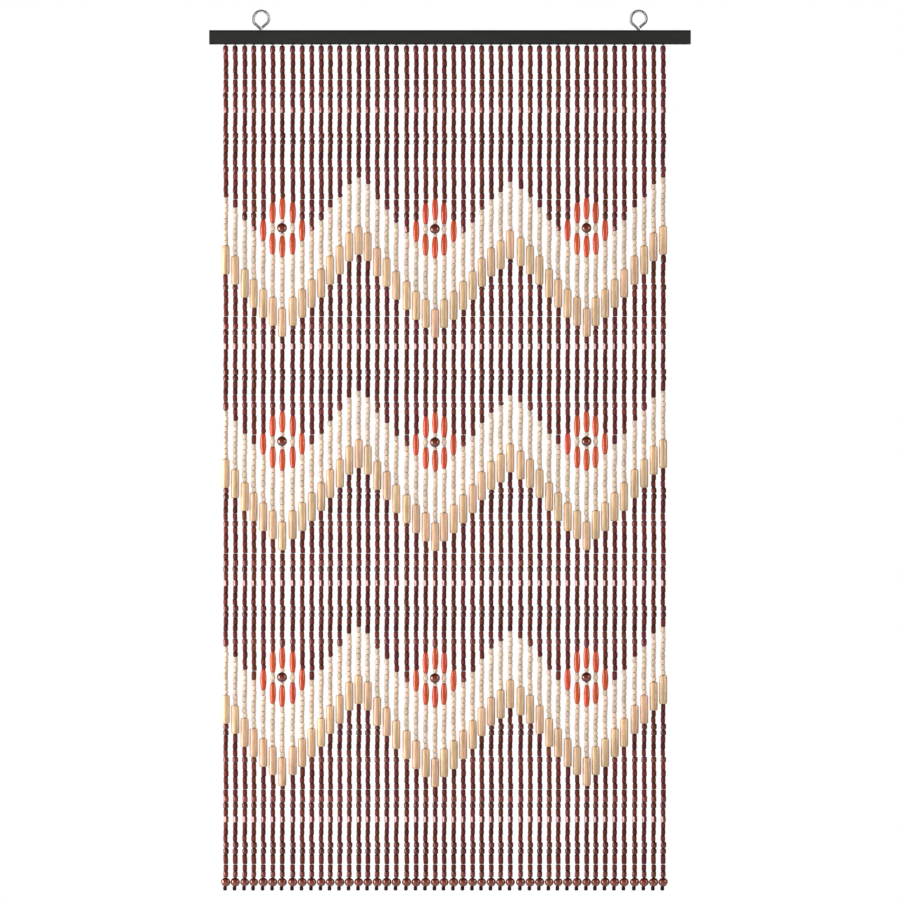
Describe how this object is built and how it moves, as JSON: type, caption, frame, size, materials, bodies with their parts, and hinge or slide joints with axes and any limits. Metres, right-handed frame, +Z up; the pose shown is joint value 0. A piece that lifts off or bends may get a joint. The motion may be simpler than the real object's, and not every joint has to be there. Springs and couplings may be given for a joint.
{
  "type": "bead curtain and rail",
  "caption": "String curtain of small wooden beads, with zigzag bands of long beads and flowers of oval beads, hung under a painted rail with a screw eye near each end.",
  "frame": {"origin": "midway between the two screw eyes, at the height where hooks carry the insides of their rings", "axes": "+X to the right along the rail as seen from the front, the front faces -Y, +Z up along the strings"},
  "size_m": [0.9, 0.02, 1.6468],
  "materials": {
    "rail_paint": "satin charcoal paint",
    "eye_steel": "bright plated wire",
    "dark_beads": "glossy mahogany stain and lacquer",
    "pale_beads": "natural pale wood, satin",
    "tan_tubes": "natural tan wood with upright grain, satin",
    "coral_beads": "glossy coral red lacquer",
    "cord": "dark waxed string"
  },
  "bodies": {
    "root": {"rail": "rail_paint", "eye_left": "eye_steel", "eye_right": "eye_steel", "bead_strands": "dark_beads"}
  },
  "joints": []
}
